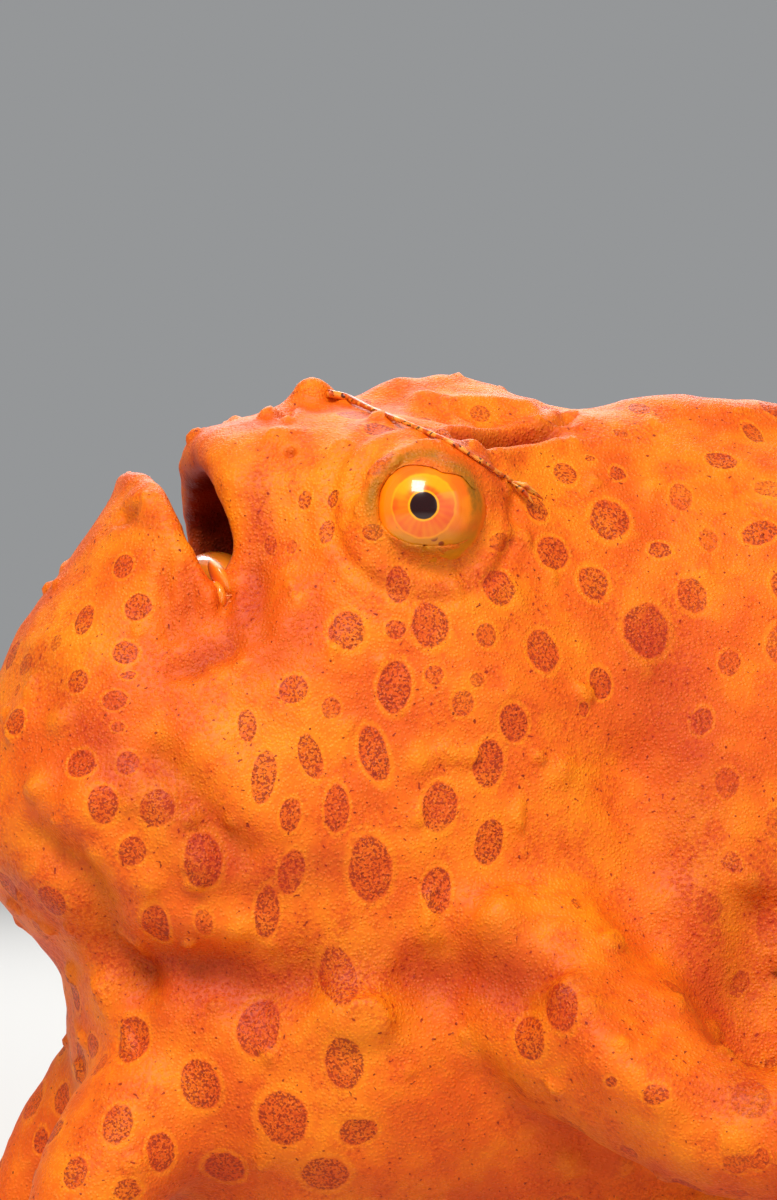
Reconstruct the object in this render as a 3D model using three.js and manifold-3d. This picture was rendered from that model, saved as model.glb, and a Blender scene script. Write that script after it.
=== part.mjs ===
// A life-size model of an orange painted frogfish resting on its belly, feet and hands.
// Millimetres, +Z up, the fish faces -X and its left side is -Y. The floor is the plane z = 0.
import * as THREE from "three";
import { mergeVertices } from "three/addons/utils/BufferGeometryUtils.js";
import Module from "manifold-3d";

const wasm = await Module();
wasm.setup();

// Driving dimensions
const GAP = 0.3; // clearance between nodes that touch
const BACK_TOP = 92; // height of the nape above the floor
const EYE = new THREE.Vector3(39.4, 20.6, 82); // centre of the right eyeball; the left one is mirrored
const EYE_RADIUS = 6;
const MOUTH_CORNER = new THREE.Vector2(19, 71.8); // where the lips meet, in the side view (x, z)
const LIP_RADIUS = 1.4;
const TAIL_ROOT_X = 158; // where the caudal fin begins
const CAUDAL_LENGTH = 38;
const DORSAL_RAYS = 12;
const ANAL_RAYS = 7;
const CAUDAL_RAYS = 9;
const HAND_RAYS = 10;
const FOOT_RAYS = 5;
const BLEND = 7; // how far the flesh forms run into each other

// The forms of the flesh: centre and half-sizes of ellipsoids; pairs lie on both sides of the body.
const FORMS = [
  { centre: [43, 0, BACK_TOP - 23], size: [29, 22, 25] }, // cranium
  { centre: [62, 0, BACK_TOP - 13], size: [20, 13, 13.6] }, // nape
  { centre: [26.5, 0, 84], size: [8.5, 15.5, 7.8] }, // snout and upper jaw
  { centre: [15.5, 0, 76.5], size: [6.5, 15.5, 9.5] }, // tip of the lower jaw
  { centre: [13, 0, 65], size: [12.5, 17, 12] }, // chin
  { centre: [22, 0, 52], size: [27, 23, 19] }, // throat pouch
  { centre: [37, 0, 27], size: [31, 25, 23] }, // chest
  { centre: [72, 0, 33], size: [44, 25.5, 34.5] }, // belly
  { centre: [78, 0, 56], size: [42, 21.5, 35.5] }, // shoulders
  { centre: [114, 0, 47], size: [40, 17, 31] }, // hind body
  { centre: [148, 0, 40], size: [24, 7, 11] }, // tail stalk
  { centre: [EYE.x, 15.5, EYE.z], size: [8.5, 7.5, 8.5], pair: true }, // eye mounds
  { centre: [38, 17, 56], size: [19, 9, 22], pair: true }, // cheeks
];

function ellipsoidDistance(p, form) {
  const y = form.pair ? Math.abs(p.y) : p.y;
  const q = [p.x - form.centre[0], y - form.centre[1], p.z - form.centre[2]];
  const k0 = Math.hypot(...q.map((v, i) => v / form.size[i]));
  const k1 = Math.hypot(...q.map((v, i) => v / form.size[i] ** 2));
  return k1 < 1e-9 ? -Math.min(...form.size) : (k0 * (k0 - 1)) / k1;
}

// Distance to the flesh, all forms blended.
function flesh(p) {
  let d = 1e3;
  for (const form of FORMS) {
    const e = ellipsoidDistance(p, form);
    const h = Math.max(BLEND - Math.abs(d - e), 0) / BLEND;
    d = Math.min(d, e) - (h * h * BLEND) / 4;
  }
  return d;
}

// The point where a ray from outside first meets the flesh, grown by `grow`.
function onFlesh(from, along, grow = 0, reach = 120) {
  let t = reach;
  const p = new THREE.Vector3();
  for (let i = 0; i < 90; i++) {
    const d = flesh(p.copy(from).addScaledVector(along, t)) - grow;
    if (Math.abs(d) < 0.01) break;
    t -= 0.8 * d;
  }
  return p;
}

const topOf = (x) => onFlesh(new THREE.Vector3(x, 0, 45), new THREE.Vector3(0, 0, 1));
const underOf = (x) => onFlesh(new THREE.Vector3(x, 0, 40), new THREE.Vector3(0, 0, -1));

// A capsule's vertices, sent out from the body's own line until they lie on the flesh.
const AXIS = new THREE.CatmullRomCurve3([
  new THREE.Vector3(27, 0, 66),
  new THREE.Vector3(60, 0, 50),
  new THREE.Vector3(105, 0, 46),
  new THREE.Vector3(150, 0, 40),
]);
function fleshGeometry(grow, around, capSteps, steps) {
  const g = new THREE.CapsuleGeometry(1, 1, capSteps, around, steps);
  g.rotateZ(Math.PI / 2); // the axis now lies along X, -0.5 to 0.5
  const at = g.attributes.position;
  const p = new THREE.Vector3();
  for (let i = 0; i < at.count; i++) {
    p.fromBufferAttribute(at, i);
    const s = THREE.MathUtils.clamp(p.x, -0.5, 0.5);
    const out = new THREE.Vector3(p.x - s, p.y, p.z).normalize();
    const onto = onFlesh(AXIS.getPoint(s + 0.5), out, grow);
    at.setXYZ(i, onto.x, onto.y, onto.z);
  }
  return g;
}

// A closed three.js geometry as a solid with its faces outward, and back.
function solid(geometry) {
  const g = geometry.index ? geometry.toNonIndexed() : geometry.clone();
  for (const name of Object.keys(g.attributes)) {
    if (name !== "position") g.deleteAttribute(name);
  }
  const merged = mergeVertices(g, 1e-3);
  const at = merged.attributes.position;
  const corner = [new THREE.Vector3(), new THREE.Vector3(), new THREE.Vector3()];
  const faces = [];
  let volume = 0;
  for (let i = 0; i < merged.index.count; i += 3) {
    const face = [0, 1, 2].map((k) => merged.index.getX(i + k));
    if (new Set(face).size < 3) continue;
    face.forEach((v, k) => corner[k].fromBufferAttribute(at, v));
    volume += corner[0].dot(corner[1].clone().cross(corner[2]));
    faces.push(face);
  }
  const outward = volume > 0 ? faces : faces.map((face) => face.reverse());
  return new wasm.Manifold(
    new wasm.Mesh({ numProp: 3, vertProperties: at.array, triVerts: new Uint32Array(outward.flat()) }),
  );
}
function largest(s) {
  return s.decompose().reduce((a, b) => (a.volume() > b.volume() ? a : b));
}
function geometryOf(s) {
  const m = largest(s).getMesh();
  const g = new THREE.BufferGeometry();
  g.setAttribute("position", new THREE.BufferAttribute(new Float32Array(m.vertProperties), 3));
  g.setIndex(new THREE.BufferAttribute(new Uint32Array(m.triVerts), 1));
  g.computeVertexNormals();
  return g;
}

// Everything on one side of a plane: the side that `towards` points to.
function side(point, towards) {
  const big = 400;
  const g = new THREE.BoxGeometry(big, big, big);
  const n = new THREE.Vector3(...towards).normalize();
  const turn = new THREE.Quaternion().setFromUnitVectors(new THREE.Vector3(0, 0, 1), n);
  g.translate(0, 0, big / 2 + GAP / 2);
  g.applyQuaternion(turn);
  g.translate(...point);
  return solid(g);
}

// A limb or lip: a ring of `around` points carried along a curve, with half-widths across and up.
function sweep(points, widths, heights, around, steps) {
  const curve = new THREE.CatmullRomCurve3(points.map((q) => new THREE.Vector3(...q)));
  const g = new THREE.CylinderGeometry(1, 1, 1, around, steps);
  const at = g.attributes.position;
  const between = (list, t) => {
    const f = t * (list.length - 1);
    const i = Math.min(Math.floor(f), list.length - 2);
    return THREE.MathUtils.lerp(list[i], list[i + 1], f - i);
  };
  for (let i = 0; i < at.count; i++) {
    const t = at.getY(i) + 0.5;
    const centre = curve.getPoint(t);
    const along = curve.getTangent(t);
    const across = new THREE.Vector3(0, 0, 1).cross(along);
    if (across.lengthSq() < 0.01) across.set(0, 1, 0);
    across.normalize();
    const up = along.clone().cross(across);
    centre.addScaledVector(across, at.getZ(i) * between(widths, t));
    centre.addScaledVector(up, at.getX(i) * between(heights, t));
    at.setXYZ(i, centre.x, centre.y, centre.z);
  }
  return solid(g);
}

// A finned membrane: `root(u)` and `tip(u)` give its edges, `side` the way its thickness goes.
// The rays stand out of both faces as ridges, and the outer edge is notched between them.
function fin({ rays, root, tip, across, thick, flat = false, steps = 6, bow = () => 0 }) {
  const columns = 2 * rays;
  const g = new THREE.BoxGeometry(1, 1, 1, columns, steps, 1);
  const at = g.attributes.position;
  for (let i = 0; i < at.count; i++) {
    const u = at.getX(i) + 0.5;
    const v = at.getY(i) + 0.5;
    const onRay = Math.round(u * columns) % 2 === 1;
    const edge = Math.abs(at.getX(i)) > 0.49;
    const reach = (onRay ? 1 : 0.95) * v;
    const half = thick * (onRay ? 1 : 0.42) * (1 - 0.72 * v) * (edge ? 0.6 : 1);
    const from = root(u);
    const p = from.clone().lerp(tip(u), reach);
    const normal = across(u);
    const sign = at.getZ(i) > 0 ? 1 : -1;
    p.addScaledVector(normal, flat ? (sign > 0 ? 2 * half + 0.1 : 0) : sign * (half + 0.1));
    p.addScaledVector(normal, bow(u, v));
    at.setXYZ(i, p.x, p.y, p.z);
  }
  return solid(g);
}

const mirrored = (s) => s.mirror([0, 1, 0]);
const union = (list) => list.reduce((a, b) => a.add(b));

// The body is made whole, then parted.
const AROUND = 44;
const grown = solid(fleshGeometry(GAP, AROUND, 8, 22));
const FLOOR = side([0, 0, -GAP / 2], [0, 0, 1]);
let body = solid(fleshGeometry(0, AROUND, 8, 22)).intersect(FLOOR);

// The mouth: a wedge between the lips as seen from the side, and the hollow behind it.
const gape = new THREE.Shape();
gape.moveTo(MOUTH_CORNER.x, MOUTH_CORNER.y);
gape.bezierCurveTo(20.8, 74.5, 20.9, 78, 20.6, 82);
gape.lineTo(19.4, 87);
gape.lineTo(15.6, 96);
gape.lineTo(13.4, 88);
gape.bezierCurveTo(15.4, 83, 17.2, 77.5, MOUTH_CORNER.x, MOUTH_CORNER.y);
const wedgeGeometry = new THREE.ExtrudeGeometry(gape, {
  depth: 60,
  bevelEnabled: false,
  curveSegments: 7,
});
wedgeGeometry.rotateX(Math.PI / 2);
wedgeGeometry.translate(0, 30, 0);
const hollowGeometry = new THREE.SphereGeometry(1, 18, 12);
hollowGeometry.scale(10, 13.5, 9.5);
hollowGeometry.translate(25, 0, 78);
const mouth = solid(wedgeGeometry).add(solid(hollowGeometry));
body = body.subtract(mouth);

// Eyes sit in sockets with a raised ring of lid round each.
function eyeball() {
  const g = new THREE.SphereGeometry(EYE_RADIUS, 18, 10);
  g.translate(EYE.x, EYE.y, EYE.z);
  return solid(g);
}
const socketGeometry = new THREE.SphereGeometry(EYE_RADIUS + GAP, 18, 10);
socketGeometry.translate(EYE.x, EYE.y, EYE.z);
const socket = solid(socketGeometry);
function lid(grow = 0) {
  const g = new THREE.TorusGeometry(EYE_RADIUS + 0.2, 1.5 + grow, 7, 22);
  g.rotateX(Math.PI / 2);
  g.rotateZ(-0.12);
  g.translate(EYE.x, EYE.y + 2.1, EYE.z);
  return solid(g);
}

// Lips follow the edges of the mouth from the corner over the top, half sunk in the flesh.
function lip(x, z, spread) {
  const outwards = new THREE.Vector3(0, 1, 0);
  const edge = (px, pz) => onFlesh(new THREE.Vector3(px, 0, pz), outwards, -0.5, 60).toArray();
  const half = [
    edge(MOUTH_CORNER.x + 0.2, MOUTH_CORNER.y - 1),
    edge(x[0], z[0]),
    edge(x[1], z[1]),
    [x[2], spread, z[2]],
  ];
  const other = half.map(([px, py, pz]) => [px, -py, pz]).reverse();
  const points = [...half, [x[2] - 0.6, 0, z[2] + 0.6], ...other];
  const r = LIP_RADIUS;
  return sweep(points, [0.6 * r, r, r, r, 0.6 * r], [0.6 * r, r, r, r, 0.6 * r], 7, 20);
}
const upperLip = lip([22.5, 22.2, 21.6], [77.5, 84.5, 88.8], 8);
const lowerLip = lip([16.3, 14.2, 13.2], [77, 81.5, 84.8], 6.5);

// Warts and knobs on the cheeks, throat and snout: place (x, y, z) and radius.
const KNOBS = [
  [43.6, -24.6, 41, 4],
  [31, -24, 31.4, 3.4],
  [17.5, -22.5, 42, 3.4],
  [6.5, -17.5, 53, 3.4],
  [1.5, -14, 60, 3],
];
const knob = ([x, y, z, r], mirror, grow = 0) => {
  const g = new THREE.SphereGeometry(r + grow, 10, 6);
  const toAxis = new THREE.Vector3(x, mirror ? -y : y, z);
  const out = new THREE.Vector3(0, Math.sign(toAxis.y), 0);
  const seat = z > BACK_TOP - 2 ? toAxis : onFlesh(new THREE.Vector3(x, 0, z), out, -0.45 * r, 60);
  g.scale(1.15, 1, 1.15);
  g.translate(seat.x, seat.y, seat.z);
  return solid(g);
};
const knobsOf = (grow) =>
  union([false, true].flatMap((mirror) => KNOBS.map((k) => knob(k, mirror, grow))));
const knobs = knobsOf(0);

// Two tubes of the nostril stand on the snout, each with its own pore.
function nostril() {
  const spot = onFlesh(new THREE.Vector3(28, 0, 80), new THREE.Vector3(-0.1, -0.75, 0.62).normalize());
  const tube = new THREE.LatheGeometry(
    [[0, -2], [1.7, -2], [1.35, 1.5], [0.8, 1.6], [0.7, 0.2], [0, 0.2]].map(
      ([x, y]) => new THREE.Vector2(x, y),
    ),
    12,
  );
  tube.rotateX(Math.PI / 2);
  tube.applyQuaternion(
    new THREE.Quaternion().setFromUnitVectors(
      new THREE.Vector3(0, 0, 1),
      new THREE.Vector3(-0.1, -0.75, 0.62).normalize(),
    ),
  );
  tube.translate(spot.x, spot.y, spot.z);
  return solid(tube);
}

body = union([body, knobs.intersect(FLOOR), lid(), mirrored(lid())]);
body = body.subtract(socket).subtract(mirrored(socket));
const nostrils = nostril().add(mirrored(nostril()));

// Where the body is parted: point and the way to the front or upper piece.
const JAW_CUT = [[MOUTH_CORNER.x, 0, MOUTH_CORNER.y], [-0.35, 0, 0.94]];
const MOUTH_CUT = [[MOUTH_CORNER.x, 0, MOUTH_CORNER.y], [-0.96, 0, -0.2]];
const THROAT_CUT = [[MOUTH_CORNER.x, 0, MOUTH_CORNER.y], [0.74, 0, 0.67]];
const GILL_CUT = [[60, 0, 50], [-1, 0, 0.12]];
const HIND_CUT = [[100, 0, 50], [-1, 0, -0.05]];
const STALK_CUT = [[136, 0, 45], [-1, 0, 0]];
const front = (cut) => side(cut[0], cut[1]);
const behind = (cut) => side(cut[0], cut[1].map((v) => -v));

const jaw = body.intersect(front(JAW_CUT)).intersect(front(MOUTH_CUT));
const beforeGill = body.intersect(front(GILL_CUT));
const headPiece = beforeGill.intersect(front(THROAT_CUT)).intersect(behind(MOUTH_CUT));
const throat = beforeGill.intersect(behind(THROAT_CUT)).intersect(behind(JAW_CUT));
const nodes = {};
nodes.lower_jaw = jaw.add(lowerLip.intersect(front(JAW_CUT)).intersect(front(MOUTH_CUT)));
const headLip = upperLip.intersect(behind(MOUTH_CUT)).intersect(front(THROAT_CUT));
nodes.head = union([headPiece, nostrils, headLip]);
nodes.throat = throat;
nodes.trunk = body.intersect(behind(GILL_CUT)).intersect(front(HIND_CUT));
nodes.hind_body = body.intersect(behind(HIND_CUT)).intersect(front(STALK_CUT));
nodes.tail_stalk = body.intersect(behind(STALK_CUT)).intersect(side([TAIL_ROOT_X, 0, 0], [-1, 0, 0]));
nodes.eye_right = eyeball();
nodes.eye_left = mirrored(eyeball());

// The tongue shows as a pale wedge at the corner of the mouth.
const tongueGeometry = new THREE.SphereGeometry(1, 14, 8);
tongueGeometry.scale(3.2, 10.5, 3.4);
tongueGeometry.translate(22.6, 0, 74.6);
nodes.tongue = solid(tongueGeometry)
  .subtract(body.translate([0, 0, GAP]).add(body))
  .intersect(side([0, 0, 73], [0, 0, 1]));

// The spines of the head keep clear of all of this.
const around = union([grown, lid(GAP), mirrored(lid(GAP)), knobsOf(GAP)]);
const SPINE_KNOB = [31.9, -0.6, 93.2];
const KNOB_RADIUS = 2.1;
const knobGeometry = new THREE.SphereGeometry(KNOB_RADIUS, 16, 12);
knobGeometry.scale(1, 1, 1.3);
knobGeometry.translate(...SPINE_KNOB);
nodes.illicium_base = solid(knobGeometry).subtract(grown);

const spineTwo = sweep(
  [[35.2, 0, 91.4], [42, 0, 93], [49.5, -0.5, 93.5], [57.6, -2, 91.8]],
  [1.6, 3, 4.2, 4.6, 3.6, 1.4],
  [1.8, 2.8, 3.3, 3.3, 2.6, 0.9],
  14,
  12,
);
nodes.dorsal_spine_2 = spineTwo.subtract(around);

const spineThree = sweep(
  [[61, 0, 90.6], [68, 0, 91.4], [77, 0, 91.2], [87, 0, 90], [97, 0, 89.4]],
  [1.5, 4.6, 5.6, 5.2, 4, 2.2, 1],
  [1.4, 2.8, 3.4, 3.2, 3.2, 2.6, 1.2],
  14,
  14,
);
nodes.dorsal_spine_3 = spineThree.subtract(grown);

// The fishing rod is laid back along the left side of the head, and its lure ends it.
const ROD_RADIUS = 0.5;
const rodPath = [[35.8, 88.6], [38.5, 87.9], [41.5, 87.4], [44.5, 85.9], [47, 83.4]].map(([x, z]) => {
  const outwards = new THREE.Vector3(0, -0.6, 0.8).normalize();
  const from = new THREE.Vector3(x, 0, z - 12);
  const spot = onFlesh(from, outwards, GAP + ROD_RADIUS + 0.25, 60);
  return [spot.x, spot.y, spot.z];
});
const keepOff = union([around, nodes.dorsal_spine_2]);
const rodStart = [SPINE_KNOB[0] + 1.6, SPINE_KNOB[1] - 1.4, SPINE_KNOB[2] + 0.6];
const rod = sweep([rodStart, ...rodPath], [ROD_RADIUS, ROD_RADIUS], [ROD_RADIUS, ROD_RADIUS], 7, 26);
const lureAt = rodPath[rodPath.length - 1];
const baseGrown = new THREE.SphereGeometry(KNOB_RADIUS + GAP, 16, 12);
baseGrown.scale(1, 1, 1.3);
baseGrown.translate(...SPINE_KNOB);
nodes.illicium = rod.subtract(solid(baseGrown)).subtract(keepOff);
const lure = sweep(
  [[0.9, -0.2, -0.6], [2.4, -0.7, -1.4], [5.4, -0.9, -3.6]].map((step) =>
    step.map((value, i) => lureAt[i] + value),
  ),
  [0.6, 1.3, 0.4],
  [0.5, 0.8, 0.35],
  8,
  6,
);
nodes.esca = lure.subtract(keepOff).subtract(rod.translate([GAP, 0, -GAP]).add(rod));

// Unpaired fins.
const Y_AXIS = new THREE.Vector3(0, 1, 0);
const fanOf = (length, angle) =>
  new THREE.Vector3(Math.cos(angle) * length, 0, Math.sin(angle) * length);

const dorsalRoot = (u) => topOf(THREE.MathUtils.lerp(103, 152, u)).add(new THREE.Vector3(0, 0, -0.8));
const dorsalTip = (u) => {
  const length = 17 + 15 * Math.sin(Math.PI * Math.min(1, 0.25 + 0.62 * u)) - 4 * u;
  return dorsalRoot(u).add(fanOf(length, THREE.MathUtils.lerp(1.25, 0.55, u)));
};
nodes.dorsal_fin = fin({
  rays: DORSAL_RAYS,
  root: dorsalRoot,
  tip: dorsalTip,
  across: () => Y_AXIS,
  thick: 1.7,
  steps: 5,
  bow: (u, v) => 1.2 * v * v * Math.sin(u * 9),
}).subtract(grown);

const analRoot = (u) => underOf(THREE.MathUtils.lerp(118, 149, u)).add(new THREE.Vector3(0, 0, 0.8));
const analTip = (u) => {
  const foot = analRoot(u);
  const angle = THREE.MathUtils.lerp(-1.35, -0.55, u);
  const length = 12 + 9 * Math.sin(Math.PI * (0.2 + 0.6 * u)) + 2 * u;
  return foot.add(fanOf(length, angle)).max(new THREE.Vector3(-1e3, -1e3, 1.5));
};
nodes.anal_fin = fin({
  rays: ANAL_RAYS,
  root: analRoot,
  tip: analTip,
  across: () => Y_AXIS,
  thick: 1.6,
  steps: 5,
  bow: (u, v) => 0.9 * v * v * Math.sin(u * 6),
}).subtract(grown);

const caudalRoot = (u) =>
  new THREE.Vector3(TAIL_ROOT_X + GAP / 2 + GAP - 0.1, 0, THREE.MathUtils.lerp(50.5, 30, u));
const caudalTip = (u) => {
  const length = CAUDAL_LENGTH * (0.86 + 0.14 * Math.sin(Math.PI * u));
  return caudalRoot(u).add(fanOf(length, THREE.MathUtils.lerp(0.62, -0.62, u)));
};
nodes.caudal_fin = fin({
  rays: CAUDAL_RAYS,
  root: caudalRoot,
  tip: caudalTip,
  across: () => Y_AXIS,
  thick: 2,
  steps: 6,
  bow: (u, v) => 5 * v * v,
});

// Paired limbs, made for the left side and mirrored.
const WRIST = [89.2, -43.4, 2];
const arm = sweep(
  [
    [50, -18, 36],
    [58, -28, 27.5],
    [68, -35, 20.5],
    [77, -39.5, 21],
    [84.5, -42.5, 20.5],
    [88.6, -43.5, 12],
    WRIST,
  ],
  [11, 9.5, 7.5, 6.5, 6.5, 6, 5.6],
  [11, 8, 6.4, 6.2, 6.6, 5, 3.6],
  16,
  18,
);
nodes.pectoral_arm_left = arm.subtract(around).intersect(side([0, 0, 4 - GAP / 2], [0, 0, 1]));

// A hand or foot lies flat on the floor, its rays spread like fingers.
function spread({ at, rays, from, to, near, far, thick }) {
  const turn = (u) => THREE.MathUtils.lerp(from, to, u);
  const ring = (u, r) =>
    new THREE.Vector3(at[0] + Math.cos(turn(u)) * r, at[1] + Math.sin(turn(u)) * r, 0);
  return fin({
    rays,
    root: (u) => ring(u, near),
    tip: (u) => ring(u, far * (0.84 + 0.16 * Math.sin(Math.PI * u))),
    across: () => new THREE.Vector3(0, 0, 1),
    thick,
    flat: true,
    steps: 5,
  });
}
const palm = ([x, y], r, height) => {
  const g = new THREE.SphereGeometry(1, 18, 8, 0, 2 * Math.PI, 0, Math.PI);
  g.rotateX(Math.PI / 2);
  g.scale(r, r, height);
  g.translate(x, y, 0);
  return solid(g).intersect(FLOOR);
};
const HAND = { at: WRIST, rays: HAND_RAYS, from: 3.4, to: 6.6, near: 3.5, far: 25, thick: 1.7 };
const armTop = side([0, 0, 4 - 1.5 * GAP], [0, 0, -1]);
nodes.pectoral_fin_left = spread(HAND).add(palm(WRIST, 7.6, 4.4)).intersect(armTop).subtract(around);

const ANKLE = [1.5, -15.5, 1];
const leg = sweep(
  [[21, -8, 26], [12.5, -11, 20], [5.5, -13.5, 11], ANKLE],
  [9, 7.5, 5.6, 4.6],
  [9, 7.5, 5, 3.4],
  14,
  8,
);
nodes.pelvic_leg_left = leg.subtract(around).intersect(side([0, 0, 3.4 - GAP / 2], [0, 0, 1]));
const FOOT = { at: ANKLE, rays: FOOT_RAYS, from: 2.1, to: 4.5, near: 2.5, far: 16, thick: 1.9 };
const legTop = side([0, 0, 3.4 - 1.5 * GAP], [0, 0, -1]);
nodes.pelvic_fin_left = spread(FOOT).add(palm(ANKLE, 5.4, 3.8)).intersect(legTop).subtract(around);

for (const name of ["pectoral_arm", "pectoral_fin", "pelvic_leg", "pelvic_fin"]) {
  nodes[name + "_right"] = mirrored(nodes[name + "_left"]);
}

// Colours.
const MATERIALS = {
  skin: new THREE.MeshStandardMaterial({ color: 0xf08a12, roughness: 0.55, metalness: 0 }),
  fin: new THREE.MeshStandardMaterial({ color: 0xe0760f, roughness: 0.55, metalness: 0 }),
  eye: new THREE.MeshStandardMaterial({ color: 0xf7b01c, roughness: 0.12, metalness: 0 }),
  lure: new THREE.MeshStandardMaterial({ color: 0xd9a878, roughness: 0.5, metalness: 0 }),
  mouth: new THREE.MeshStandardMaterial({ color: 0xf6cfa8, roughness: 0.35, metalness: 0 }),
};
function materialOf(name) {
  if (name.startsWith("eye")) return MATERIALS.eye;
  if (name === "esca" || name === "illicium") return MATERIALS.lure;
  if (name === "tongue") return MATERIALS.mouth;
  return name.includes("_fin") ? MATERIALS.fin : MATERIALS.skin;
}

const fish = new THREE.Group();
for (const [name, made] of Object.entries(nodes)) {
  const mesh = new THREE.Mesh(geometryOf(made), materialOf(name).clone());
  mesh.name = name;
  fish.add(mesh);
}

// The origin is the middle of the whole fish's underside.
const bounds = new THREE.Box3().setFromObject(fish);
const middle = bounds.getCenter(new THREE.Vector3());
for (const mesh of fish.children) mesh.geometry.translate(-middle.x, -middle.y, -bounds.min.z);

export default fish;
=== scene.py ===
import math

import bmesh
import bpy
import numpy as np
from mathutils import Matrix, Vector, noise
from mathutils.bvhtree import BVHTree


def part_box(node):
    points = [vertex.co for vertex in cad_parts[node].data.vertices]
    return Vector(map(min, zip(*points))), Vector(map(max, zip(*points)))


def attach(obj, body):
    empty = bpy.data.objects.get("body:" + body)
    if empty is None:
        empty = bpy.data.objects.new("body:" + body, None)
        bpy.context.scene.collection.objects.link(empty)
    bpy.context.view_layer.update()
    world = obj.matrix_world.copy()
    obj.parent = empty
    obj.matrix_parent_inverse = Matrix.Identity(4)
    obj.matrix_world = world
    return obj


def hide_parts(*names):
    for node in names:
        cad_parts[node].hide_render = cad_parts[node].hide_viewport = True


# An orange painted frogfish: one velvety skin over the solid flesh, with rayed fins, glossy eyes,
# an upturned mouth with fine teeth, and a banded fishing rod laid back over the head.
# Places in this file are in millimetres, measured as in the part's source: the fish faces -X, its
# left side is -Y. `SHIFT` turns them into the frame's own places.

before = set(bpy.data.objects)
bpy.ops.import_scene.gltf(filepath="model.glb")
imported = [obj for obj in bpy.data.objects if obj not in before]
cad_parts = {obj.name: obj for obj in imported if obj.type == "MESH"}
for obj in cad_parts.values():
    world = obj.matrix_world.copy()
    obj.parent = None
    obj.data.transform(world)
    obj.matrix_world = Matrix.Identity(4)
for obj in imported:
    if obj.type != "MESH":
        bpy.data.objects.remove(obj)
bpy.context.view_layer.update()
MM = 0.001
EYE = np.array([39.4, 20.6, 82.0])
EYE_RADIUS = 6.0
low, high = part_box("eye_right")
SHIFT = np.array([(low.x + high.x) / 2 / MM - EYE[0], 0.0, 0.0])
rng = np.random.default_rng(7)


def place(point):
    """A point in millimetres as a place in the frame, in metres."""
    return Vector((np.asarray(point, float) + SHIFT) * MM)


# The camera

AIM = (35.5, -22.0, 73.0)
TURN = math.radians(-12)
FAR = 430.0
PHOTO = (777, 1200)
across = Vector((math.cos(TURN), math.sin(TURN), 0))
ahead = Vector((-math.sin(TURN), math.cos(TURN), 0))
camera = bpy.data.objects.new("camera", bpy.data.cameras.new("camera"))
bpy.context.scene.collection.objects.link(camera)
camera.location = place(AIM) - ahead * FAR * MM
camera.rotation_euler = ahead.to_track_quat("-Z", "Y").to_euler()
camera.data.sensor_fit = "VERTICAL"
camera.data.angle = 2 * math.atan(60 / FAR)
camera.data.clip_start = 0.01
bpy.context.scene.camera = camera


def sight(px, py):
    """The direction of a line of sight, for a place in the 777 x 1200 picture."""
    u = (px - PHOTO[0] / 2) / 10 / FAR
    v = (PHOTO[1] / 2 - py) / 10 / FAR
    return (ahead + across * u + Vector((0, 0, 1)) * v).normalized()


# Shader maths


class Wire:
    """A socket of a material that can be used in sums."""

    def __init__(self, tree, socket):
        self.tree, self.socket = tree, socket

    def sum(self, operation, *values):
        return self.node("ShaderNodeMath", {"operation": operation}, dict(enumerate(values)))

    def node(self, kind, settings, sockets, out=0):
        made = self.tree.nodes.new(kind)
        for key, value in settings.items():
            if key == "stops":
                ramp = made.color_ramp.elements
                while len(ramp) < len(value):
                    ramp.new(0.5)
                for stop, (position, colour) in zip(ramp, value):
                    stop.position = position
                    stop.color = colour
            else:
                setattr(made, key, value)
        for key, value in sockets.items():
            if isinstance(value, Wire):
                self.tree.links.new(value.socket, made.inputs[key])
            else:
                made.inputs[key].default_value = value
        return Wire(self.tree, made.outputs[out])

    def __add__(self, other):
        return self.sum("ADD", self, other)

    def __sub__(self, other):
        return self.sum("SUBTRACT", self, other)

    def __rsub__(self, other):
        return self.sum("SUBTRACT", other, self)

    def __mul__(self, other):
        return self.sum("MULTIPLY", self, other)

    __radd__ = __add__
    __rmul__ = __mul__

    def above(self, start, end):
        """0 below start, 1 above end, smooth between them."""
        sockets = {0: self, 1: start, 2: end}
        return self.node("ShaderNodeMapRange", {"interpolation_type": "SMOOTHSTEP"}, sockets)

    def below(self, start, end):
        return 1 - self.above(start, end)

    def mixed(self, first, second):
        """first where this is 0, second where it is 1."""
        sockets = {0: self, 6: first, 7: second}
        return self.node("ShaderNodeMix", {"data_type": "RGBA"}, sockets, 2)


def tone(red, green, blue):
    """A colour as the eye names it, 0 to 255, as the shader's own."""
    return tuple((c / 255) ** 2.2 for c in (red, green, blue)) + (1,)


ORANGE = tone(240, 104, 2)
GOLD = tone(254, 140, 8)
RUST = tone(198, 64, 1)
MAROON = tone(122, 22, 1)
CREAM = tone(255, 196, 96)


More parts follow.
